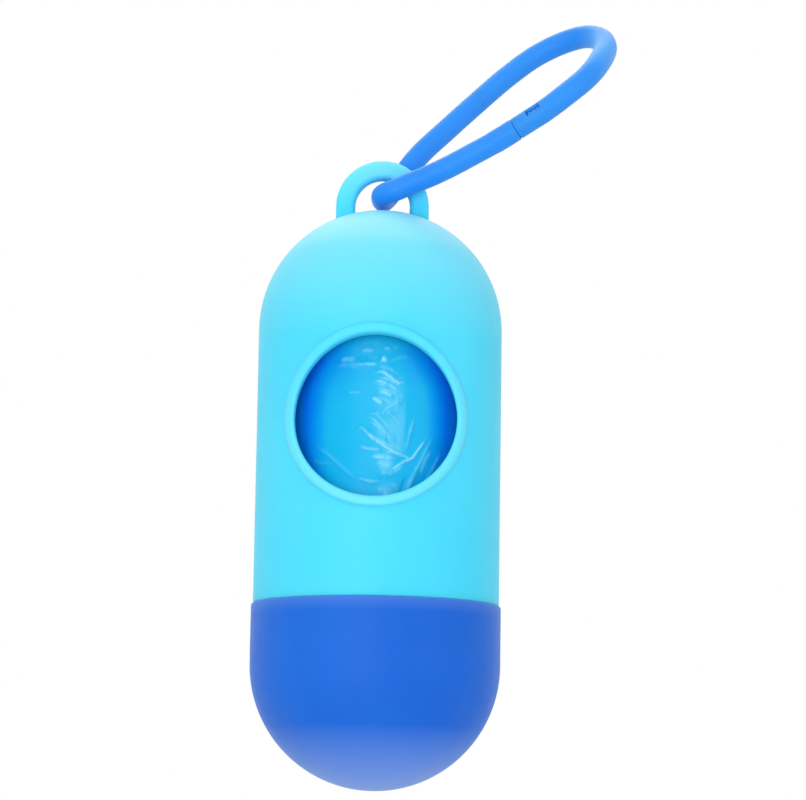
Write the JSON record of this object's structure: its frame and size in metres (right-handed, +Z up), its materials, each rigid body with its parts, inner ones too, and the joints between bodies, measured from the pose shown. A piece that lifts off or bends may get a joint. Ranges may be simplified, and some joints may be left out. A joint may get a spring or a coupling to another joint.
{
  "type": "dog waste bag dispenser",
  "caption": "Two-tone round-ended capsule that holds a roll of waste bags, with a ringed round opening in front, a twist-off end cap, and a snap strap through its hanging tab.",
  "frame": {"origin": "where the leash bears on the inside of the strap's far bend", "axes": "+Z up along the capsule's axis, from the end cap to the hanging tab; -Y out of the dispensing opening; the strap leans towards +X"},
  "size_m": [0.056, 0.0391, 0.1226],
  "materials": {
    "sky_plastic": "satin moulded sky-blue polypropylene, slightly translucent",
    "deep_blue_plastic": "satin moulded deep-blue polypropylene, slightly translucent",
    "strap_plastic": "soft satin blue flexible plastic",
    "bag_film": "thin glossy blue polyethylene film, wrinkled",
    "card": "plain wound card"
  },
  "bodies": {
    "strap_far": {"strap_socket_side": "strap_plastic"},
    "strap_near": {"strap_plug_side": "strap_plastic"},
    "capsule": {"housing": "sky_plastic"},
    "cap": {"end_cap": "deep_blue_plastic"},
    "roll": {"roll_core": "card", "bag_01": "bag_film", "bag_02": "bag_film", "bag_03": "bag_film", "bag_04": "bag_film", "bag_05": "bag_film", "bag_06": "bag_film", "bag_07": "bag_film", "bag_08": "bag_film", "bag_09": "bag_film", "bag_10": "bag_film", "bag_11": "bag_film", "bag_12": "bag_film", "bag_13": "bag_film", "bag_14": "bag_film", "bag_15": "bag_film"}
  },
  "joints": [
    {"name": "strap_release", "type": "slide", "parent": "strap_far", "child": "strap_near", "axis": [-0.8372, 0.1842, -0.5149], "range_m": [0, 0.008]},
    {"name": "housing_swing", "type": "hinge", "parent": "strap_near", "child": "capsule", "pos_m": [-0.033, 0, -0.024], "axis": [0, 1, 0], "range_deg": [-35, 140]},
    {"name": "cap_off", "type": "slide", "parent": "capsule", "child": "cap", "axis": [0, 0, -1], "range_m": [0, 0.055]},
    {"name": "roll_spin", "type": "hinge", "parent": "cap", "child": "roll", "pos_m": [-0.033, 0, -0.0783], "axis": [0, 0, 1], "continuous": true}
  ]
}
